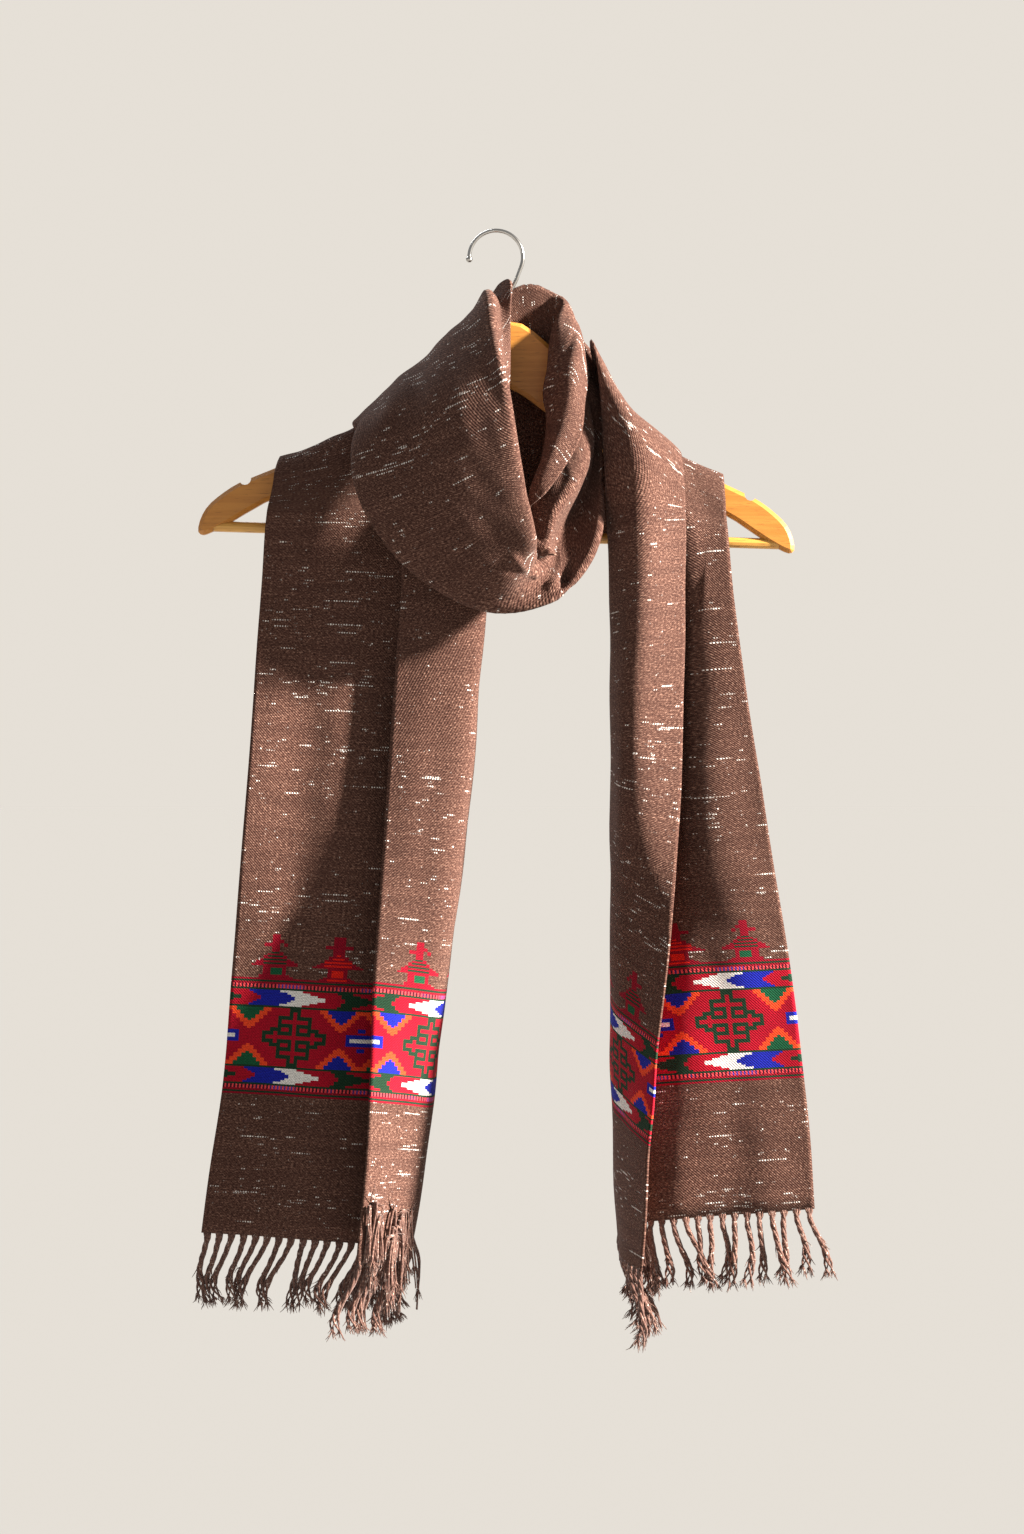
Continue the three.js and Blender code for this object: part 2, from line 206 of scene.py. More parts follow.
def grownRing(bm, edges):
    # a ring of edges extruded once: the new ring's points and its own edges
    made = bmesh.ops.extrude_edge_only(bm, edges=edges)["geom"]
    ring = ofKind(made, bmesh.types.BMVert)
    return ring, [e for e in ofKind(made, bmesh.types.BMEdge) if e.verts[0] in ring and e.verts[1] in ring]


def floor():
    bm = bmesh.new()
    bmesh.ops.create_grid(bm, x_segments=1, y_segments=1, size=studio["groundReach"])
    bmesh.ops.translate(bm, verts=bm.verts, vec=(0, 0, studio["groundLevel"]))
    sheet = linkedObject("floor", meshFrom(bm, "floor"))
    paint, tree, shader = newMaterial("floorPaper")
    feed(tree, shader, {
        "Base Color": (*studio["groundColour"], 1.0), "Roughness": 1.0, "Specular IOR Level": 0.0,
    })
    sheet.data.materials.append(paint)


keyGlow = sunLight("keySun", studio["keyFrom"], studio["keySize"], studio["keyPower"], studio["keyColour"])
backGlow = sunLight("backSun", studio["backFrom"], studio["backSize"], studio["backPower"],
                    studio["backColour"])
skyWorld([ground * (key + back + sky * studio["skyStrength"]) for ground, key, back, sky
          in zip(studio["groundColour"], keyGlow, backGlow, studio["skyColour"])])
floor()
print("camera and light set")

# Wool

wool = {
    "dark": (0.050, 0.020, 0.015, 1.0),
    "mid": (0.136, 0.063, 0.045, 1.0),
    "light": (0.37, 0.21, 0.155, 1.0),
    # painted shade for the hollows between the twill's ribs and wefts
    "ribHollowShade": (0.035, 0.015, 0.012),
    "fleck": (0.95, 0.89, 0.83),
    "pick": 1.15,               # mm from weft to weft
    "rib": 2.1,                 # mm from rib to rib of the twill
    "tick": 2.7,                # mm from tick to tick beside the band
    "bead": 1.9,                # mm from bead to bead of a slub
}


def yarnShadeGroup():
    # heather wool: fibres of three shades, drawn out along the yarn, with slow changes of dye
    tree, given, result = newGroup(
        "yarnShade",
        [("Along", "Float", 0.0), ("Across", "Float", 0.0), ("Dark", "Color", None),
         ("Mid", "Color", None), ("Light", "Color", None)],
        [("Colour", "Color"), ("Fibre", "Float")],
    )
    fine = vectorOf(tree, times(tree, given["Along"], 0.50), times(tree, given["Across"], 0.85))
    broad = vectorOf(tree, times(tree, given["Along"], 0.012), times(tree, given["Across"], 0.16))
    fibre = noise(tree, fine, 1.0, 3.0, 0.65)
    dye = noise(tree, broad, 1.0)
    darker = mixed(tree, stepped(tree, fibre, 0.36, 0.50), given["Dark"], given["Mid"])
    lighter = mixed(tree, stepped(tree, fibre, 0.52, 0.66), darker, given["Light"])
    shaded = mixed(tree, times(tree, stepped(tree, dye, 0.35, 0.65), 0.34), lighter, given["Dark"])
    tree.links.new(shaded, result["Colour"])
    tree.links.new(fibre, result["Fibre"])
    return tree


def slubGroup():
    # undyed flecks caught in single wefts: dotted dashes, a few long lines and loose specks
    tree, given, result = newGroup(
        "slubFlecks",
        [("Along", "Float", 0.0), ("Across", "Float", 0.0), ("Pick", "Float", wool["pick"])],
        [("Fleck", "Float"), ("Knot", "Float")],
    )
    pick = maths(tree, "DIVIDE", given["Across"], given["Pick"])
    row = maths(tree, "FLOOR", pick)
    inRow = maths(tree, "ABSOLUTE", maths(tree, "SUBTRACT", maths(tree, "FRACT", pick), 0.5))
    u = given["Along"]

    def perRow(length, factor, shift):
        share = maths(tree, "DIVIDE", u, length)
        return noise(tree, vectorOf(tree, share, maths(tree, "MULTIPLY_ADD", row, factor, shift)), 1.0, 1.0)

    dash, line = perRow(11.0, 3.71, 0.0), perRow(46.0, 5.13, 84.6)
    plump, speck = perRow(3.0, 2.37, 19.0), perRow(1.5, 7.93, 41.0)
    busy = noise(tree, vectorOf(tree, times(tree, u, 0.006), times(tree, row, 0.043)), 1.0, 2.0)
    crowd = maths(tree, "MULTIPLY_ADD", busy, 0.30, -0.15)
    shifted = times(tree, row, 1.9)
    beat = maths(tree, "SINE", maths(tree, "MULTIPLY_ADD", u, 2 * math.pi / wool["bead"], shifted))
    dots = maths(tree, "MULTIPLY_ADD", plump, 2.2, times(tree, beat, 0.80))
    dashed = times(tree, stepped(tree, maths(tree, "ADD", dash, crowd), 0.675, 0.73),
                   stepped(tree, dots, 0.95, 1.45))
    lined = times(tree, stepped(tree, maths(tree, "ADD", line, crowd), 0.70, 0.725),
                  stepped(tree, dots, 0.85, 1.35))
    loose = stepped(tree, speck, 0.77, 0.82)
    every = maths(tree, "MAXIMUM", maths(tree, "MAXIMUM", dashed, lined), loose)
    thick = maths(tree, "MULTIPLY_ADD", plump, 0.95, -0.12)
    body = stepped(tree, maths(tree, "SUBTRACT", thick, inRow), -0.06, 0.10)
    fleck = maths(tree, "MULTIPLY", every, body, clamp=True)
    tree.links.new(fleck, result["Fleck"])
    tree.links.new(times(tree, fleck, plump), result["Knot"])
    return tree


yarnShade = yarnShadeGroup()
slubFlecks = slubGroup()

# The cloth: seven lines run its whole length, and each row below is one section across them

cloth = {
    "width": 300.0,             # mm on the loom, selvedge to selvedge
    "length": 1.98,             # m, without the tassels
    "wall": 1.8,
    "columns": 105,             # 35 to one repeat of the band
    "panelDepth": -9.0,         # y of the open panels in mm
    "bandRows": 60,
    "templeHeight": 34.0,
    "hemStep": 12.0,            # mm between rows here, and in the stretches below
    "templeStep": 1.3,
    "tailStep": 12.5,
    "neckStep": 5.0,
    "pinchStep": 3.0,
}

lineNames = ["edge", "rim", "hollow", "crest", "fold", "swell", "lip"]
tailColumns = ["z", "edge", "rim", "rimDrop", "back", "fold", "foldY", "foldDrop",
               "lip", "lipY", "lipDrop", "out", "at"]

# hanging ends, from the hem up, in mm
leftTail = [
    (-745, -219, -97, 8, 40, -66, -5, 18, -100, -61, 13, 4, 0.5),
    (-699, -213, -92, 7, 40, -57, -6, 12, -96, -59, 7, 4, 0.5),
    (-641, -204, -88, 6, 39, -49, -8, 11, -92, -54, 2, 4, 0.5),
    (-554, -196, -82, 6, 38, -39, -14, 10, -89, -45, 2, 6, 0.5),
    (-476, -189, -76, 6, 36, -29, -18, 10, -84, -39, 4, 6, 0.5),
    (-394, -182, -70, 5, 28, -20, -21, 9, -79, -34, 4, 6, 0.5),
    (-319, -177, -65, 5, 8, -12, -22, 8, -74, -31, 5, 5, 0.5),
    (-264, -173, -62, 3, -9, -6, -20, 7, -70, -27, 5, 4, 0.5),
    (-210, -169, -61, 0, -12, -4, -16, 2, -68, -21, 2, 2, 0.5),
]
rightTail = [
    (-725, 235, 115, 12, 40, 92, -6, 34, 105, -74, 38, 3, 0.5),
    (-676, 232, 119, 10, 40, 89, -6, 31, 109, -71, 42, 3, 0.5),
    (-628, 227, 125, 8, 39, 88, -6, 26, 112, -68, 45, 3, 0.5),
    (-540, 216, 134, 6, 38, 86, -6, 29, 118, -66, 55, 3, 0.5),
    (-474, 205, 144, 5, 38, 86, -8, 17, 127, -60, 47, 4, 0.55),
    (-409, 195, 147, 4, 34, 86, -10, 7, 135, -38, 23, 20, 0.5),
    (-342, 184, 152, 3, 16, 86, -14, 4, 138, -28, 0, 24, 0.4),
    (-275, 176, 153, 1, -10, 85, -20, 4, 140, -24, -5, 24, 0.38),
    (-223, 172, 153, 0, -14, 82, -25, 3, 140, -22, -5, 21, 0.38),
]

# wound stretches in mm, from the left arm round to the right arm, one (x, y, z) for each line
wound = [
    ((-163, -9, -183), (-111, -9, -163), (-84, -9, -144), (-59, -10, -120), (-37, -11, -98),
     (-31, -17, -94), (-26, -14, -84)),
    ((-159, 0, -168), (-109, 0, -148), (-82, 0, -129), (-57, 0, -106), (-36, 0, -85),
     (-27, 0, -76), (-18, 0, -67)),
    ((-155, 9, -179), (-106, 9, -156), (-79, 9, -137), (-54, 9, -112), (-33, 9, -88),
     (-24, 11, -79), (-16, 13, -70)),
    ((-128, 11, -194), (-96, 11, -168), (-68, 11, -145), (-42, 11, -118), (-18, 12, -78),
     (-12, 16, -72), (-9, 21, -74)),
    ((-52, 17, -196), (-38, 15, -165), (-25, 14, -135), (-14, 12, -102), (0, 11, -48),
     (-2, 16, -70), (-3, 21, -92)),
    ((30, 18, -190), (30, 16, -160), (30, 14, -130), (29, 12, -96), (24, 8, -37),
     (30, 15, -60), (33, 20, -86)),
    ((84, 12, -154), (74, 11, -140), (65, 11, -127), (53, 9, -108), (43, 8, -45),
     (53, 16, -62), (59, 20, -92)),
    ((94, 0, -136), (81, 0, -121), (70, -1, -110), (57, -4, -94), (51, 0, -51),
     (61, 5, -68), (68, 9, -95)),
    ((88, -9, -150), (80, -10, -140), (71, -12, -128), (63, -14, -117), (42, -9, -72),
     (60, -20, -79), (68, -12, -108)),
    ((74, -11, -169), (78, -17, -163), (72, -12, -150), (69, -25, -141), (38, -20, -107),
     (56, -35, -103), (65, -32, -128)),
    ((68, -12, -202), (78, -28, -196), (70, -15, -180), (67, -43, -172), (37, -33, -144),
     (50, -46, -142), (62, -48, -158)),
    ((63, -17, -226), (76, -42, -227), (61, -22, -203), (58, -55, -191), (33, -43, -176),
     (40, -56, -172), (49, -60, -183)),
    ((54, -23, -246), (64, -54, -256), (46, -35, -230), (42, -63, -217), (25, -49, -204),
     (29, -60, -196), (34, -65, -202)),
    ((36, -30, -262), (42, -60, -277), (37, -52, -255), (33, -66, -245), (26, -60, -233),
     (20, -56, -222), (16, -52, -212)),
    ((3, -32, -268), (-4, -56, -286), (6, -70, -270), (19, -78, -253), (28, -79, -236),
     (17, -65, -222), (10, -56, -210)),
    ((-43, -38, -238), (-65, -50, -254), (-40, -67, -244), (-8, -78, -225), (22, -82, -201),
     (14, -65, -192), (9, -52, -180)),
    ((-72, -36, -190), (-100, -42, -201), (-68, -61, -193), (-24, -75, -176), (13, -81, -160),
     (9, -56, -154), (9, -44, -144)),
    ((-92, -21, -164), (-106, -26, -158), (-73, -48, -149), (-31, -63, -133), (4.5, -70, -117),
     (6, -42, -110), (10, -31, -104)),
    ((-107, -3, -143), (-90, -4, -128), (-62, -21, -112), (-32, -37, -98), (-2, -47, -82),
     (3, -22, -76), (11, -15, -62)),
    ((-97, 17, -137), (-71, 16, -112), (-46, 10, -87), (-25, 0, -66), (-5.5, -15, -47),
     (1.5, 1, -47), (10, -1, -35)),
    ((-72, 27, -190), (-58, 28, -160), (-44, 29, -128), (-29, 28, -96), (-13, 23, -62),
     (-6, 22, -50), (0, 18, -44)),
    ((8, 34, -215), (11, 34, -180), (14, 34, -145), (17, 32, -108), (21, 29, -62),
     (25, 37, -68), (27, 41, -88)),
    ((92, 26, -225), (86, 26, -192), (79, 27, -160), (72, 27, -126), (60, 24, -74),
     (72, 33, -90), (82, 35, -122)),
    ((150, 12, -204), (126, 12, -184), (108, 12, -168), (92, 14, -138), (74, 16, -94),
     (92, 23, -116), (114, 22, -156)),
    ((165, 9, -193), (128, 9, -173), (106, 9, -157), (86, 9, -124), (71, 9, -85),
     (93, 16, -122), (127, 14, -163)),
    ((168, 0, -182), (128, 0, -163), (106, 0, -147), (85, -1, -114), (71, -3, -80),
     (94, -1, -123), (135, -1, -163)),
    ((170, -10, -198), (142, -9, -182), (116, -13, -166), (95, -18, -144), (77, -23, -114),
     (98, -42, -142), (138, -19, -177)),
]


def tailSection(values):
    row = dict(zip(tailColumns, values))
    panel = cloth["panelDepth"]
    gap = row["fold"] - row["rim"]
    rimZ = row["z"] - row["rimDrop"]
    foldZ = row["z"] - row["foldDrop"]
    lipZ = row["z"] - row["lipDrop"]
    alongX = row["lip"] - row["fold"]
    alongY = row["lipY"] - row["foldY"]
    outX, outY = alongY, -alongX
    reach = math.hypot(outX, outY)
    if outY > 0:
        reach = -reach
    swellX = row["fold"] + alongX * row["at"] + outX / reach * row["out"]
    swellY = row["foldY"] + alongY * row["at"] + outY / reach * row["out"]
    backZ = (rimZ + foldZ) / 2
    return (
        (row["edge"], panel, row["z"]),
        (row["rim"], panel, rimZ),
        (row["rim"] + gap * 0.2, row["back"], backZ),
        (row["rim"] + gap * 0.8, row["back"], backZ),
        (row["fold"], row["foldY"], foldZ),
        (swellX, swellY, foldZ + (lipZ - foldZ) * row["at"]),
        (row["lip"], row["lipY"], lipZ),
    )


sections = np.array(
    [tailSection(row) for row in leftTail] + wound + [tailSection(row) for row in reversed(rightTail)],
    dtype=float,
)
lastSection = len(sections) - 1
leftBand = (2.0, 3.0)           # its lower and upper edge, in sections from the left hem
rightBand = (lastSection - 2.0, lastSection - 3.0)
pinched = (20.0, 24.2)          # sections of the wound loop's narrow bottom


def rounded(before, start, end, after, share):
    # centripetal curve between start and end, a share from 0 to 1 along, for many points at once
    def gap(a, b):
        return np.maximum(np.sum((a - b) ** 2, axis=-1, keepdims=True) ** 0.25, 1e-4)

    gapA, gapB, gapC = gap(before, start), gap(start, end), gap(end, after)
    leave = (start - before) / gapA - (end - before) / (gapA + gapB) + (end - start) / gapB
    reach = (end - start) / gapB - (after - start) / (gapB + gapC) + (after - end) / gapC
    leave = leave * gapB
    reach = reach * gapB
    return (start + leave * share + (-3 * start + 3 * end - 2 * leave - reach) * share ** 2
            + (2 * start - 2 * end + leave + reach) * share ** 3)


def alongLines(v):
    # the seven points at a section number, which may fall between two sections
    low = min(int(v), lastSection - 1)
    start, end = sections[low], sections[low + 1]
    before = sections[low - 1] if low > 0 else 2 * start - end
    after = sections[low + 2] if low + 2 <= lastSection else 2 * end - start
    return rounded(before, start, end, after, v - low)


def acrossLines(points, finer=18):
    padded = np.vstack([2 * points[0] - points[1], points, 2 * points[-1] - points[-2]])
    pieces = []
    for k in range(len(points) - 1):
        share = np.linspace(0, 1, finer, endpoint=False)[:, None]
        pieces.append(rounded(padded[k], padded[k + 1], padded[k + 2], padded[k + 3], share))
    return np.vstack(pieces + [points[-1:]])


def evenly(value, low, high):
    share = min(1.0, max(0.0, (value - low) / (high - low)))
    return share * share * (3 - 2 * share)


def clothRow(v, finer=18):
    # one weft, and where the seven lines cross it: the open panel and the flap keep their true widths,
    # and the hidden fold takes the rest
    sampled = acrossLines(alongLines(v), finer)
    steps = np.linalg.norm(np.diff(sampled, axis=0), axis=1)
    arc = np.concatenate([[0.0], np.cumsum(steps)])
    whole = cloth["width"]
    even = arc * whole / arc[-1]
    atRim, atFold = arc[finer], arc[4 * finer]
    foldFlat = max(whole - (arc[-1] - atFold), atRim + 5.0)
    kept = np.interp(arc, [0.0, atRim, atFold, arc[-1]], [0.0, atRim, foldFlat, whole])
    tail = max(1 - evenly(v, 8.0, 10.5), evenly(v, lastSection - 10.5, lastSection - 8.0))
    flat = even + (kept - even) * tail
    wanted = np.linspace(0.0, whole, cloth["columns"] + 1)
    spread = np.stack([np.interp(wanted, flat, values) for values in (*sampled.T, arc)], axis=1)
    return spread, dict(zip(lineNames, flat[::finer]))


def warpLengths():
    # distance along the warp for each section number, as the mean of three lines
    values = np.linspace(0, lastSection, lastSection * 20 + 1)
    points = np.array([alongLines(v)[[0, 4, 6]] for v in values])
    steps = np.linalg.norm(np.diff(points, axis=0), axis=2).mean(axis=1)
    return values, np.concatenate([[0.0], np.cumsum(steps)])


sectionValues, warpValues = warpLengths()


def warpAt(v):
    return float(np.interp(v, sectionValues, warpValues))


def sectionAt(distance):
    return float(np.interp(distance, warpValues, sectionValues))


def rowValues():
    # section numbers of the wefts: fine in the bands, the temples above them and the pinched loop
    temple = cloth["templeHeight"]
    tailStep, neckStep, hemStep = cloth["tailStep"], cloth["neckStep"], cloth["hemStep"]
    stops = [0.0, warpAt(leftBand[0]), warpAt(leftBand[1]), warpAt(leftBand[1]) + temple,
             warpAt(8), warpAt(pinched[0]), warpAt(pinched[1]), warpAt(lastSection - 8),
             warpAt(rightBand[1]) - temple, warpAt(rightBand[1]), warpAt(rightBand[0]), warpValues[-1]]
    pitches = [hemStep, None, cloth["templeStep"], tailStep, neckStep, cloth["pinchStep"], neckStep,
               tailStep, cloth["templeStep"], None, hemStep]
    found = []
    for start, end, pitch in zip(stops, stops[1:], pitches):
        count = cloth["bandRows"] if pitch is None else round((end - start) / pitch)
        found.extend(np.linspace(start, end, count, endpoint=False))
    found.append(warpValues[-1])
    return np.array(found), [sectionAt(d) for d in found]


warpRows, rowSections = rowValues()

# Creases and leans of the cloth: the sections they run between, where across the width in mm, or how
# far beside a line, how far they drift on the way, their width and depth in mm, a minus for a hollow
creaseColumns = ["start", "end", "beside", "at", "drift", "width", "deep"]
creases = [dict(zip(creaseColumns, values)) for values in (
    (0.0, 8.6, None, 34, 10, 20, -2.2),
    (0.6, 7.4, None, 72, -8, 17, 1.8),
    (2.4, 9.0, None, 100, -12, 12, -1.6),
    (0.0, 6.0, None, 268, 6, 12, 1.6),
    (2.4, 10.0, None, -20, 0, 80, 17.0),
    (2.4, 8.8, None, 312, 0, 45, 3.0),
    (5.0, 9.4, None, 12, 22, 9, 1.3),
    (22.6, 27.2, None, 96, 26, 22, -1.2),
    (24.2, 28.6, None, 60, 30, 20, 1.0),
    (16.0, 20.4, None, 196, 14, 9, -1.6),
    (15.0, 19.6, None, 232, -10, 7, 1.3),
    (29.0, 32.6, None, 90, 24, 12, -2.4),
    (28.6, 32.4, None, 160, -18, 13, 2.0),
    (24.6, 29.2, "fold", -1, 0, 6, 2.6),
    (25.2, 29.2, "fold", -30, 4, 22, -1.0),
    (18.4, 22.6, "crest", 0, 0, 7, 1.8),
    (18.6, 22.8, "rim", 4, 0, 7, 1.6),
    (32.4, 35.4, None, 4, 0, 32, 1.6),
    (34.0, 42.0, None, 258, -6, 13, -1.7),
    (35.0, 44.0, None, -20, 0, 90, 18.0),
    (36.4, 44.0, None, 30, 9, 18, 1.1),
    (35.2, 44.0, None, 66, -10, 15, -1.1),
    (38.0, 44.0, None, 96, 4, 11, 1.0),
)]

# Puckers where the wound loop is pinched: from one point to another, width and depth, all in mm
puckers = [
    ((26, -60, -234), (37, -62, -243), 2.8, 4.2),
    ((37, -62, -243), (45, -58, -257), 2.8, 5.2),
    ((45, -57, -257), (41, -56, -275), 3.0, 5.0),
    ((28, -62, -259), (43, -59, -256), 2.8, 4.0),
    ((31, -62, -247), (38, -60, -252), 4.6, -13.0),
    ((53, -54, -250), (49, -54, -268), 4.0, -7.0),
    ((20, -76, -264), (33, -66, -270), 3.2, -4.0),
    ((14, -80, -250), (28, -72, -262), 3.4, 2.6),
]

ripples = [(0.011, 0.0037, 0.4, 0.5), (0.016, -0.0061, 2.1, 0.3), (0.006, 0.0113, 1.2, 0.4),
           (0.032, 0.0173, 4.0, 0.12)]     # per mm across, per mm along, phase, height in mm


def clothPoints():
    made = [clothRow(v) for v in rowSections]
    rows = np.array([spread[:, :3] for spread, _ in made])
    arcs = np.array([spread[:, 3] for spread, _ in made])
    across = np.gradient(rows, axis=1)
    along = np.gradient(rows, axis=0)
    normals = np.cross(across, along)
    normals /= np.maximum(np.linalg.norm(normals, axis=2, keepdims=True), 1e-9)
    flat = np.linspace(0.0, cloth["width"], cloth["columns"] + 1)
    lift = np.zeros(rows.shape[:2])
    for crease in creases:
        for j, v in enumerate(rowSections):
            if not crease["start"] <= v <= crease["end"]:
                continue
            share = (v - crease["start"]) / (crease["end"] - crease["start"])
            fade = min(1.0, 4 * share) if crease["start"] > 0 else 1.0
            fade *= min(1.0, 4 * (1 - share)) if crease["end"] < lastSection else 1.0
            middle = crease["at"] + crease["drift"] * share + 2.5 * math.sin(5 * share)
            if crease["beside"]:
                middle += made[j][1][crease["beside"]]
            lift[j] += crease["deep"] * fade * np.exp(-((flat - middle) / crease["width"]) ** 2)
    for perU, perV, phase, height in ripples:
        lift += height * np.sin(2 * math.pi * (perU * flat[None, :] + perV * warpRows[:, None]) + phase)
    near = np.array([pinched[0] <= v <= pinched[1] for v in rowSections])
    for start, end, width, deep in puckers:
        start, end = np.array(start, float), np.array(end, float)
        line = end - start
        share = np.clip((rows[near] - start) @ line / (line @ line), 0, 1)
        away = np.linalg.norm(rows[near] - start - share[:, :, None] * line, axis=2)
        lift[near] += deep * np.exp(-(away / width) ** 2)
    return (rows + normals * lift[:, :, None]) * mm, arcs


# The band and the temples, charted as on the loom: 35 cells to a repeat, 60 wefts to a band

dyes = {
    "red": (0.42, 0.004, 0.020),
    "crimson": (0.29, 0.003, 0.018),
    "orange": (0.93, 0.072, 0.020),
    "flame": (0.82, 0.016, 0.008),
    "green": (0.006, 0.10, 0.042),
    "pine": (0.008, 0.042, 0.020),
    "blue": (0.008, 0.018, 0.36),
    "white": (0.88, 0.86, 0.82),
    "pink": (0.84, 0.075, 0.085),
    "violet": (0.10, 0.05, 0.34),
    "shadow": (0.05, 0.004, 0.016),
}

band = {
    "repeat": 35,
    "borders": {0: "crimson", 1: "pine", 2: "crimson", 3: "dash", 4: "dash", 5: "pine", 14: "pine",
                45: "pine", 54: "pine", 55: "dash", 56: "dash", 57: "crimson", 58: "pine", 59: "crimson"},
    "arrowRows": (6, 46),       # first weft of each arrow row
    "arrowHeight": 8,
    "mainRow": 15,              # first weft of the frets and crosses
}

fretPath = ([(8, row) for row in range(1, 14)] + [(column, 7) for column in range(1, 16)]
            + [(column, row) for row in (3, 11) for column in range(5, 12)]
            + [(column, row) for column in (3, 13) for row in range(6, 9)])
fretOutline = {(column + dx, row + dy) for column, row in fretPath for dx in (-1, 0, 1) for dy in (-1, 0, 1)}
fretOutline -= set(fretPath)


def arrowCell(column, row):
    # arrowheads that follow each other along the weft, in hundredths of a repeat
    height = band["arrowHeight"]
    wide = 1 - abs((row + 0.5) * 2 / height - 1)
    x = (column + 0.5) * 100.0 / band["repeat"]
    for shift in (0.0, 100.0):
        at = x + shift
        if 36 + 15 * wide <= at < 52 + 21 * wide:
            return "white"
        if 14 + 11 * wide <= at < 36 + 15 * wide:
            return "blue"
        if 78 + 10 * wide <= at < 90 + 20 * wide:
            return "pine"
    return "red"


def mainCell(column, row, fromSelvedge):
    # frets in the middle of a repeat, crosses of stepped diagonals beside them, and small bars
    middle = band["repeat"] // 2
    fretCell = (column - middle + 8, row // 2)
    if fretCell in fretOutline:
        return "pine"
    fromEdge = min(row, 29 - row)
    for centre, filling in ((5, "green"), (29, "blue")):
        away = abs(column - centre)
        outer = 5.7 - fromEdge * 0.52 + 0.7 * (fromEdge % 2)
        if away <= outer and fromEdge < 11:
            return filling if away <= outer - 2.4 and fromEdge < 7 else "orange"
    side = min(column, band["repeat"] - 1 - column)
    if 12 <= row <= 17:
        reach = 3 if fromSelvedge else 4
        if side < reach - 1 and row in (14, 15):
            return "white"
        if side < reach:
            return "blue"
    if not fromSelvedge:
        if column == 0 and 12 <= row <= 17:
            return "white"
        if side == 0 and row in (9, 10, 19, 20):
            return "blue"
    return "red"


def bandCell(column, row):
    plain = band["borders"].get(row)
    if plain:
        return plain
    inRepeat = column % band["repeat"]
    for first in band["arrowRows"]:
        if first <= row < first + band["arrowHeight"]:
            return arrowCell(inRepeat, row - first)
    fromSelvedge = column < band["repeat"] // 2 or column >= cloth["columns"] - band["repeat"] // 2
    return mainCell(inRepeat, row - band["mainRow"], fromSelvedge)


temples = {
    "places": [11.1, 27.5, 43.8, 60.2, 76.5, 92.9],      # cells from the selvedge
    "lit": [False, True, False, False, True, False],
    "plinth": 2.8,              # heights above the band in mm, up to the top of each part
    "door": 9.0,
    "roof": 21.5,
    "top": 32.5,
    "crossbar": (26.2, 28.6),
}


def templeCell(away, height, lit):
    # away in mm from the middle, height in mm above the band
    core = "flame" if lit else "pine"
    if height < temples["plinth"]:
        if lit and height < 1.6 and away < 8:
            return core
        return "crimson" if away < 14 - height * 1.4 else None
    if height < temples["door"]:
        if away < 4.2:
            return ("flame" if lit else "green") if height < 8.2 else "crimson"
        return "crimson" if away < 8.0 else None
    if height < temples["roof"]:
        above = height - temples["door"]
        eaves = 19.5 * (1 - above / 17.5) ** 1.75
        if away < min(8.8, eaves - 2.2) and height < 19:
            return core if int(above / cloth["templeStep"]) % 2 == 1 else "crimson"
        return "crimson" if away < max(eaves, 2.9) else None
    if height < temples["top"]:
        droop = 2.3 if away > 4.3 else 0.0          # the ends of the crossbar hang
        if temples["crossbar"][0] - droop < height < temples["crossbar"][1] - droop:
            return "crimson" if away < 8.6 else None
        return "crimson" if away < 2.9 else None
    return None


def chartFaces(firstColumns, firstRows):
    # colour, share of chart and share of dashes for each face of the cloth
    count = len(firstColumns)
    colours = np.zeros((count, 4), dtype=np.float32)
    charted = np.zeros(count, dtype=np.float32)
    dashes = np.zeros(count, dtype=np.float32)
    ends = [(warpAt(leftBand[1]), warpAt(leftBand[0])), (warpAt(rightBand[1]), warpAt(rightBand[0]))]
    middles = (warpRows[:-1] + warpRows[1:]) / 2
    cell = cloth["width"] / cloth["columns"]
    for face in range(count):
        column, distance = int(firstColumns[face]), middles[firstRows[face]]
        name = None
        for top, bottom in ends:
            share = (distance - top) / (bottom - top)
            if 0 <= share < 1:
                name = bandCell(column, int(share * cloth["bandRows"]))
            height = abs(distance - top)
            if share < 0 and height < cloth["templeHeight"]:
                for place, lit in zip(temples["places"], temples["lit"]):
                    name = name or templeCell(abs(column + 0.5 - place) * cell, height, lit)
        if name is None:
            continue
        charted[face] = 1.0
        dashes[face] = 1.0 if name == "dash" else 0.0
        colours[face, :3] = dyes["pink" if name == "dash" else name]
        colours[face, 3] = 1.0
    return colours, charted, dashes


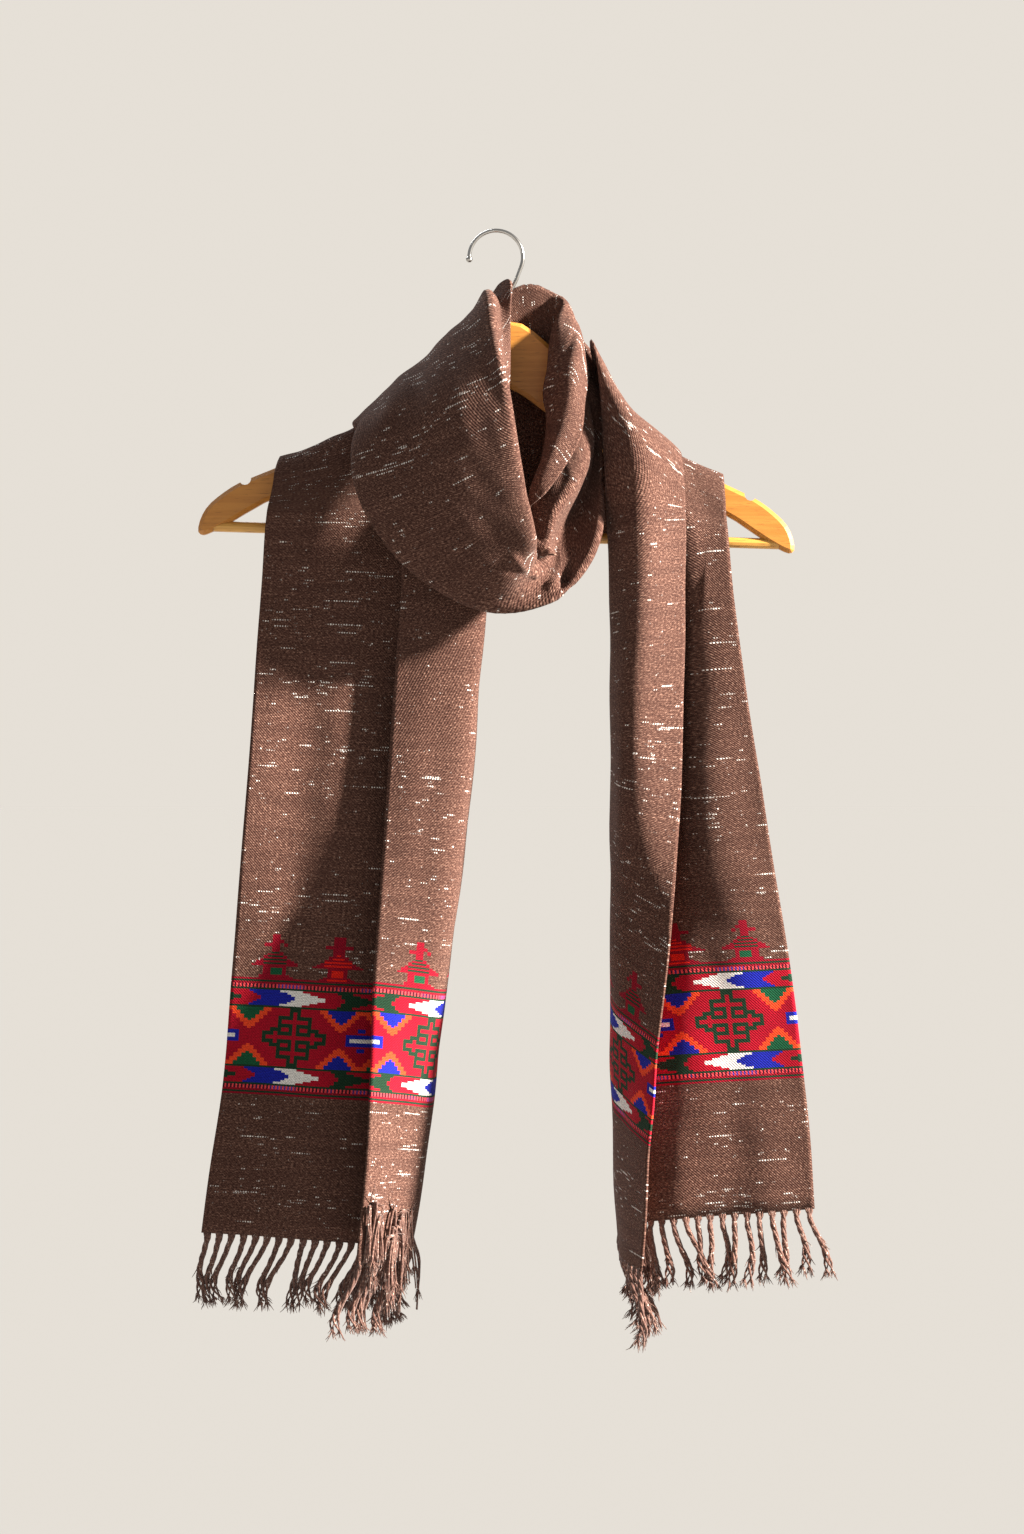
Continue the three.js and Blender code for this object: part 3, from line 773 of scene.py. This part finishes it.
def clothMaterial():
    material, tree, shader = newMaterial("heatherTwill")
    uv = put(tree, "ShaderNodeUVMap", uv_map="weave").outputs["UV"]
    parts = put(tree, "ShaderNodeSeparateXYZ", {0: uv}).outputs
    across = times(tree, parts["X"], 100.0)
    along = times(tree, parts["Y"], 100.0)
    shade = useGroup(tree, yarnShade, {
        "Along": across, "Across": along,
        "Dark": wool["dark"], "Mid": wool["mid"], "Light": wool["light"],
    })
    slub = useGroup(tree, slubFlecks, {"Along": across, "Across": along, "Pick": wool["pick"]})
    # twill: diagonal ribs over round wefts, with painted shade in the hollows between them
    diagonal = times(tree, maths(tree, "ADD", across, along), 2 * math.pi / wool["rib"])
    rib = maths(tree, "MULTIPLY_ADD", maths(tree, "SINE", diagonal), 0.5, 0.5)
    turns = times(tree, along, 2 * math.pi / wool["pick"])
    weft = maths(tree, "MULTIPLY_ADD", maths(tree, "SINE", turns), 0.5, 0.5)
    weave = maths(tree, "ADD", times(tree, rib, 0.6), times(tree, weft, 0.4))
    # painted shade: the wool darkens towards a dark tone where the ribs and wefts sink
    hollowShadedWool = mixed(tree, times(tree, maths(tree, "SUBTRACT", 1.0, weave), 0.5),
                   shade["Colour"], wool["ribHollowShade"])
    flecked = mixed(tree, slub["Fleck"], hollowShadedWool, wool["fleck"])
    chart, charted, dashed = [
        put(tree, "ShaderNodeAttribute", attribute_type="GEOMETRY", attribute_name=name).outputs
        for name in ("chart", "charted", "dashes")
    ]
    stripe = maths(tree, "SINE", times(tree, across, 2 * math.pi / wool["tick"]))
    stripes = times(tree, stepped(tree, stripe, -0.25, 0.25), dashed["Fac"])
    slow = vectorOf(tree, times(tree, across, 0.035), 0.0)
    tint = stepped(tree, noise(tree, slow, 1.0), 0.5, 0.6)
    gaps = mixed(tree, tint, dyes["shadow"], dyes["violet"])
    barred = mixed(tree, stripes, chart["Color"], gaps)
    worn = maths(tree, "MULTIPLY_ADD", shade["Fibre"], 0.9, 0.55)
    toned = mixed(tree, 1.0, barred, put(tree, "ShaderNodeCombineColor",
                                         {0: worn, 1: worn, 2: worn}).outputs[0], "MULTIPLY")
    # painted shade: the charted colour darkens in the gaps between the round wefts
    weftShadedChart = mixed(tree, times(tree, maths(tree, "SUBTRACT", 1.0, weft), 0.28), toned,
                     (0.02, 0.004, 0.004))
    colour = mixed(tree, charted["Fac"], flecked, weftShadedChart)
    height = maths(tree, "MULTIPLY_ADD", shade["Fibre"], 0.8, weave)
    raised = maths(tree, "MULTIPLY_ADD", slub["Knot"], 1.4, height)
    surface(tree, shader, colour, (raised, 0.7, 0.0007), {
        "Roughness": 0.92, "Specular IOR Level": 0.10, "Sheen Weight": 0.06, "Sheen Roughness": 0.55,
        "Sheen Tint": (1.0, 0.86, 0.78, 1.0),
    })
    return material


def scarfCloth(points, arcs):
    columns, rows = cloth["columns"], len(points) - 1
    bm = bmesh.new()
    bmesh.ops.create_grid(bm, x_segments=columns, y_segments=rows, size=0.5)
    spots = [(round((v.co.x + 0.5) * columns), round((v.co.y + 0.5) * rows)) for v in bm.verts]
    for vert, (i, j) in zip(bm.verts, spots):
        vert.co = Vector(points[j, i])
    mesh = meshFrom(bm, "scarfCloth")
    spots = np.array(spots)
    corner = np.empty(len(mesh.loops), dtype=np.int32)
    mesh.loops.foreach_get("vertex_index", corner)
    cornerSpots = spots[corner].reshape(-1, 4, 2)
    first = cornerSpots.min(axis=1)
    colours, charted, dashes = chartFaces(first[:, 0], first[:, 1])
    chart = mesh.attributes.new("chart", "FLOAT_COLOR", "CORNER")
    chart.data.foreach_set("color", np.repeat(colours, 4, axis=0).ravel())
    for name, shares in (("charted", charted), ("dashes", dashes)):
        share = mesh.attributes.new(name, "FLOAT", "CORNER")
        share.data.foreach_set("value", np.repeat(shares, 4))
    weave = mesh.uv_layers.new(name="weave")
    flat = np.stack([arcs[cornerSpots[:, :, 1], cornerSpots[:, :, 0]],
                     warpRows[cornerSpots[:, :, 1]]], axis=2) / 100.0
    weave.data.foreach_set("uv", flat.astype(np.float32).ravel())
    piece = linkedObject("scarfCloth", mesh)
    wall = piece.modifiers.new("wall", "SOLIDIFY")
    wall.thickness = cloth["wall"] * mm
    wall.offset = 0.0
    mesh.materials.append(clothMaterial())
    return piece


clothGrid, clothArcs = clothPoints()
scarf = scarfCloth(clothGrid, clothArcs)
print("cloth made:", len(warpRows), "rows,", round(warpValues[-1]), "mm along the warp")

# Tassels

tassels = {
    "pitch": 9.0,
    "length": 54.0,
    "foldedLength": 57.0,
    "strand": 1.32,             # radius of one strand
    "strands": 4,
    "spread": 1.75,             # of the strands round the middle of a tassel
    "rings": 20,
    "turns": 1.7,
    "threads": 6,               # loose ones at each strand's end
    "threadRadii": (0.48, 0.46, 0.40, 0.32, 0.15),
    "strays": 2,                # thin ones that leave a strand on its way
    "tangle": 26,               # strands that loop up over the folded strip of the left end
    "dark": (0.075, 0.031, 0.023, 1.0),
    "mid": (0.17, 0.080, 0.058, 1.0),
    "light": (0.38, 0.22, 0.165, 1.0),
    "pale": (0.70, 0.58, 0.50),
}


def tasselMaterial():
    material, tree, shader = newMaterial("twistedYarn")
    place = put(tree, "ShaderNodeTexCoord").outputs["Object"]
    parts = put(tree, "ShaderNodeSeparateXYZ", {0: place}).outputs
    shade = useGroup(tree, yarnShade, {
        "Along": times(tree, parts["Z"], 900.0),
        "Across": times(tree, maths(tree, "ADD", parts["X"], parts["Y"]), 900.0),
        "Dark": tassels["dark"], "Mid": tassels["mid"], "Light": tassels["light"],
    })
    pale = stepped(tree, noise(tree, place, 420.0, 2.0), 0.64, 0.70)
    colour = mixed(tree, times(tree, pale, 0.7), shade["Colour"], tassels["pale"])
    fibres = noise(tree, place, 2600.0, 3.0, 0.7)
    surface(tree, shader, colour, (fibres, 0.8, 0.0005), {
        "Roughness": 0.9, "Specular IOR Level": 0.2, "Sheen Weight": 0.35, "Sheen Roughness": 0.5,
    })
    return material


def twistTemplate(name, rings, sides, pinch, twist):
    # a straight cord of unit steps down, its section pinched into two plies and turned at each step
    bm = bmesh.new()
    bmesh.ops.create_circle(bm, cap_ends=True, radius=1.0, segments=sides)
    for vert in bm.verts:
        vert.co *= 1 - pinch + pinch * abs(vert.co.x)
    edges = bm.edges[:]
    for _ in range(rings):
        ring, edges = grownRing(bm, edges)
        bmesh.ops.translate(bm, verts=ring, vec=(0, 0, -1))
        bmesh.ops.rotate(bm, verts=ring, matrix=Matrix.Rotation(twist, 3, "Z"))
    bmesh.ops.holes_fill(bm, edges=edges, sides=sides)
    bmesh.ops.recalc_face_normals(bm, faces=bm.faces)
    return meshFrom(bm, name)


def layTwist(bm, template, centres, radii, turn):
    # a copy of the template, bent along the centres
    before = len(bm.verts)
    bm.from_mesh(template)
    bm.verts.ensure_lookup_table()
    last = len(centres) - 1
    spun = Matrix.Rotation(turn, 3, "Z")
    frames = []
    heading, bent = Vector((0, 0, -1)), Matrix.Identity(3)
    for k in range(last + 1):
        ahead = (centres[min(k + 1, last)] - centres[max(k - 1, 0)]).normalized()
        bent = heading.rotation_difference(ahead).to_matrix() @ bent
        heading = ahead
        frames.append(bent @ spun)
    for vert in bm.verts[before:]:
        k = min(last, max(0, round(-vert.co.z)))
        local = Vector((vert.co.x * radii[k], vert.co.y * radii[k], 0))
        vert.co = centres[k] + frames[k] @ local


def hemRoots(row):
    # evenly spaced places along a hem row, as (share, point)
    steps = np.linalg.norm(np.diff(row, axis=0), axis=1)
    arc = np.concatenate([[0.0], np.cumsum(steps)])
    count = int(arc[-1] / (tassels["pitch"] * mm)) - 1
    for k in range(count + 1):
        share = (0.5 + k) / (count + 1)
        yield share, Vector([np.interp(share * arc[-1], arc, row[:, n]) for n in range(3)])


def frayed(bm, start, ahead, wildness, draw):
    # one loose thread, curling away from a strand
    ahead = ahead.normalized()
    away = Vector((draw.uniform(-1, 1), draw.uniform(-1, 1), draw.uniform(-0.3, 0.3)))
    reach = draw.uniform(6.0, 12.0) * mm
    curl = draw.uniform(-1.4, 1.4) * mm
    centres = []
    for k in range(5):
        share = k / 4
        centres.append(start + ahead * reach * share + away * wildness * mm * share ** 1.5
                       + Vector((math.sin(5 * share), 0, math.cos(5 * share) - 1)) * curl * share)
    layTwist(bm, threadTemplate, centres, [radius * mm for radius in tassels["threadRadii"]], 0.0)


def laidStrand(bm, middle, phase, side, draw):
    # one strand of a tassel, turning round the middle line from a flat start at the hem
    rings = tassels["rings"]
    wild = draw.uniform(0.6, 1.5)
    centres, radii = [], []
    for k in range(rings + 1):
        share = k / rings
        gathered = evenly(share, 0.0, 0.16)
        swelling = 0.70 + 0.22 * math.sin(9 * share + phase) + wild * evenly(share, 0.5, 1.0)
        angle = phase + 2 * math.pi * tassels["turns"] * share ** 0.8
        turned = Vector((math.cos(angle), math.sin(angle), 0)) * tassels["spread"] * mm * swelling
        centres.append(middle[k] + side * (1 - gathered) + turned * gathered)
        fuller = 0.86 + 0.3 * math.exp(-((share - 0.09) / 0.05) ** 2) + 0.12 * math.sin(7 * share + phase)
        radii.append(tassels["strand"] * mm * (fuller - 0.50 * evenly(share, 0.75, 1.0)))
    layTwist(bm, cordTemplate, centres, radii, draw.uniform(0, 3.1))
    for _ in range(tassels["threads"]):
        frayed(bm, centres[-3], centres[-1] - centres[-4], 2.4, draw)
    for _ in range(tassels["strays"]):
        k = draw.randint(8, rings - 4)
        frayed(bm, centres[k], centres[k + 1] - centres[k - 1], 3.4, draw)


def hungLine(root, length, lean, draw):
    # the middle line of a tassel: it drops, swings to one side and curls back at its end
    forward = draw.uniform(-0.07, 0.07)
    wave = draw.uniform(-0.05, 0.05)
    back = draw.uniform(-0.03, 0.16) * (1 if lean < 0 else -1)
    phase = draw.uniform(0, 6.28)
    points = []
    for k in range(tassels["rings"] + 1):
        share = k / tassels["rings"]
        swing = evenly(share, -0.02, 0.95)
        end = max(0.0, share - 0.6) / 0.4
        points.append(root + Vector((
            length * (lean * swing + wave * math.sin(7.0 * share + phase) * share + back * end ** 2),
            length * (forward * swing + 0.6 * wave * math.sin(6.0 * share) * share),
            -length * share * (1 - 0.04 * swing) + 1.2 * mm,
        )))
    return points


def tangled(bm, root, draw):
    # a strand that climbs over the folded strip and falls back among the tassels
    outward = Vector((0.85, -0.52, 0.0)) * mm
    along = Vector((-0.52, -0.85, 0.0)) * mm
    height, fall = draw.uniform(16.0, 46.0), draw.uniform(-4.0, 44.0)
    reach, aside = draw.uniform(0.6, 3.6), draw.uniform(-14.0, 14.0)
    phase, curl = draw.uniform(0, 6.28), draw.uniform(2.0, 4.5)
    rings = tassels["rings"]
    for n in range(2):
        centres = []
        for k in range(rings + 1):
            share = k / rings
            climb = 4 * height * share * (1 - share) - fall * share ** 2
            proud = 2.4 + reach * math.sin(math.pi * share) + n * 1.2
            sideways = aside * share + curl * math.sin(9 * share + phase + 0.5 * n) * share
            wave = Vector((0, 0, 0.5 * curl * math.sin(13 * share + phase))) * mm
            centres.append(root + outward * proud + along * sideways + wave + Vector((0, 0, climb)) * mm)
        radii = [tassels["strand"] * 0.85 * mm * (1 - 0.4 * k / rings) for k in range(rings + 1)]
        layTwist(bm, cordTemplate, centres, radii, draw.uniform(0, 3.1))
        for _ in range(5):
            frayed(bm, centres[-3], centres[-1] - centres[-4], 4.5, draw)
        frayed(bm, centres[9], centres[10] - centres[8], 4.0, draw)


def fringe(name, row, lean, gather, tangle, seed):
    draw = random.Random(seed)
    bm = bmesh.new()
    roots = list(hemRoots(row))
    pulls = []
    while len(pulls) < len(roots):
        members = draw.choice((1, 2, 2, 3))          # neighbours that swing together at their ends
        common = draw.uniform(-0.12, 0.10)
        middle = len(pulls) + (members - 1) / 2
        for _ in range(members):
            pulls.append(common + (len(pulls) - middle) * -0.085)
    for index, (share, root) in enumerate(roots):
        folded = evenly(share, 0.6, 0.8)
        length = (tassels["length"] + (tassels["foldedLength"] - tassels["length"]) * folded
                  + draw.uniform(-7.0, 0.5)) * mm
        pull = lean + pulls[index] * (1 if lean < 0 else 1.2)
        if gather is not None:
            pull += (gather - root.x) / (length * 1.4) * folded
        middle = hungLine(root, length, pull, draw)
        along = (roots[min(index + 1, len(roots) - 1)][1] - roots[max(index - 1, 0)][1]).normalized()
        for n in range(tassels["strands"]):
            side = along * (n - (tassels["strands"] - 1) / 2) * 1.5 * mm
            laidStrand(bm, middle, 2 * math.pi * n / tassels["strands"], side, draw)
    lastRoots = [root for share, root in roots if share > 0.80]
    for n in range(tangle):
        root = lastRoots[n % len(lastRoots)] + Vector((draw.uniform(-2, 2) * mm, 0, 0))
        tangled(bm, root, draw)
    bmesh.ops.recalc_face_normals(bm, faces=bm.faces)
    piece = linkedObject(name, meshFrom(bm, name))
    piece.data.materials.append(yarnLook)
    return piece


yarnLook = tasselMaterial()
cordTemplate = twistTemplate("cordTemplate", tassels["rings"], 6, 0.25, 0.55)
threadTemplate = twistTemplate("threadTemplate", 4, 3, 0.0, 0.0)
leftFringe = fringe("leftFringe", clothGrid[0], -0.30, None, tassels["tangle"], 11)
rightFringe = fringe("rightFringe", clothGrid[-1], 0.18, 0.104, 0, 23)
bpy.data.meshes.remove(cordTemplate)
bpy.data.meshes.remove(threadTemplate)
print("tassels made")

# Hook

hook = {
    "wire": 1.5,
    "bend": 20.0,               # radius of the wire's centreline
    "start": 184.0,             # degrees, at the open end
    "turn": 204.0,
    "ball": 2.5,
    "stem": [(15.2, -35.0), (10.6, -44.0), (6.8, -54.0), (5.2, -66.2)],
    "sides": 14,
    "steps": 44,                # round the bend
}


def steelMaterial():
    material, tree, shader = newMaterial("polishedWire")
    place = put(tree, "ShaderNodeTexCoord").outputs["Object"]
    drawn = noise(tree, place, 900.0, 2.0, 0.6)
    dulled = noise(tree, place, 70.0, 2.0, 0.5)
    colour = mixed(tree, stepped(tree, dulled, 0.35, 0.7), (0.72, 0.70, 0.67), (0.50, 0.47, 0.43))
    rough = maths(tree, "MULTIPLY_ADD", dulled, 0.22, 0.12)
    surface(tree, shader, colour, (drawn, 0.12, 0.0002), {"Roughness": rough, "Metallic": 1.0})
    return material


def hookWire():
    bm = bmesh.new()
    wire, bend = hook["wire"] * mm, hook["bend"] * mm
    centre = Vector((0, 0, -(hook["bend"] - hook["wire"]) * mm))
    start = math.radians(hook["start"])
    openEnd = centre + bend * Vector((math.cos(start), 0, math.sin(start)))
    heading = Vector((math.sin(start), 0, -math.cos(start)))
    facing = Vector((0, 0, 1)).rotation_difference(heading).to_matrix().to_4x4()
    place = Matrix.Translation(openEnd) @ facing
    made = bmesh.ops.create_circle(bm, cap_ends=True, radius=wire, segments=hook["sides"], matrix=place)
    edges = list({e for v in made["verts"] for e in v.link_edges})
    swept = bmesh.ops.spin(bm, geom=made["verts"] + edges, cent=centre, axis=(0, 1, 0),
                           angle=math.radians(hook["turn"]), steps=hook["steps"], use_duplicate=False)
    edges = ofKind(swept["geom_last"], bmesh.types.BMEdge)
    last = start - math.radians(hook["turn"])
    spot = centre + bend * Vector((math.cos(last), 0, math.sin(last)))
    heading = Vector((math.sin(last), 0, -math.cos(last)))
    stops = [Vector((x * mm, 0, z * mm)) for x, z in hook["stem"]]
    for k, stop in enumerate(stops):
        ahead = (stops[min(k + 1, len(stops) - 1)] - (stops[k - 1] if k else spot)).normalized()
        ring, edges = grownRing(bm, edges)
        bmesh.ops.translate(bm, verts=ring, vec=stop - spot)
        turned = heading.rotation_difference(ahead).to_matrix()
        bmesh.ops.rotate(bm, verts=ring, cent=stop, matrix=turned)
        spot, heading = stop, ahead
    bmesh.ops.holes_fill(bm, edges=edges, sides=hook["sides"])
    ball = Matrix.Translation(openEnd)
    bmesh.ops.create_uvsphere(bm, u_segments=18, v_segments=12, radius=hook["ball"] * mm, matrix=ball)
    bmesh.ops.recalc_face_normals(bm, faces=bm.faces)
    piece = linkedObject("hookWire", meshFrom(bm, "hookWire"))
    piece.data.materials.append(steelMaterial())
    return piece


hookPiece = hookWire()
print("hook made")

# Wood

wood = {
    "pale": (0.62, 0.26, 0.046),
    "honey": (0.50, 0.185, 0.028),
    "dark": (0.30, 0.10, 0.016),
    "barPale": (0.80, 0.42, 0.085),
    "barHoney": (0.66, 0.30, 0.05),
}


def grainGroup():
    # long grain along X with slow waves and fine pores
    tree, given, result = newGroup(
        "woodGrain", [("Vector", "Vector", None), ("Scale", "Float", 1.0)],
        [("Grain", "Float"), ("Pores", "Float")],
    )
    parts = put(tree, "ShaderNodeSeparateXYZ", {0: given["Vector"]}).outputs
    scaled = [times(tree, parts[axis], given["Scale"]) for axis in "XYZ"]
    longWay = vectorOf(tree, times(tree, scaled[0], 0.06), scaled[1], scaled[2])
    wander = noise(tree, longWay, 0.05, 3.0, 0.6)
    rise = times(tree, scaled[2], 0.35)
    rings = maths(tree, "SINE", maths(tree, "MULTIPLY_ADD", wander, 60.0, rise))
    pores = noise(tree, longWay, 1.4, 2.0, 0.6)
    tree.links.new(maths(tree, "MULTIPLY_ADD", rings, 0.5, 0.5), result["Grain"])
    tree.links.new(pores, result["Pores"])
    return tree


woodGrain = grainGroup()


def woodMaterial(name, pale, honey):
    material, tree, shader = newMaterial(name)
    place = put(tree, "ShaderNodeTexCoord").outputs["Object"]
    grain = useGroup(tree, woodGrain, {"Vector": place, "Scale": 1000.0})
    base = mixed(tree, times(tree, grain["Grain"], 0.55), pale, honey)
    pored = mixed(tree, stepped(tree, grain["Pores"], 0.56, 0.74), base, wood["dark"])
    rough = maths(tree, "MULTIPLY_ADD", grain["Pores"], 0.25, 0.28)
    surface(tree, shader, pored, (grain["Pores"], 0.25, 0.0003), {
        "Roughness": rough, "Coat Weight": 0.35, "Coat Roughness": 0.14,
    })
    return material


def dressNode(name, material):
    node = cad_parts[name]
    node.data.materials.clear()
    node.data.materials.append(material)


dressNode("hanger_body", woodMaterial("varnishedBeech", wood["pale"], wood["honey"]))
dressNode("trouser_bar", woodMaterial("varnishedDowel", wood["barPale"], wood["barHoney"]))
print("wood dressed")

for piece in (scarf, leftFringe, rightFringe, hookPiece):
    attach(piece, "root")
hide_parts("tail_left", "back_wrap_inner", "collar_right", "cowl_left", "back_wrap_outer",
            "tail_right")
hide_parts("fringe_left")
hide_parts("fringe_right")
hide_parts("hook")

print("pieces declared")
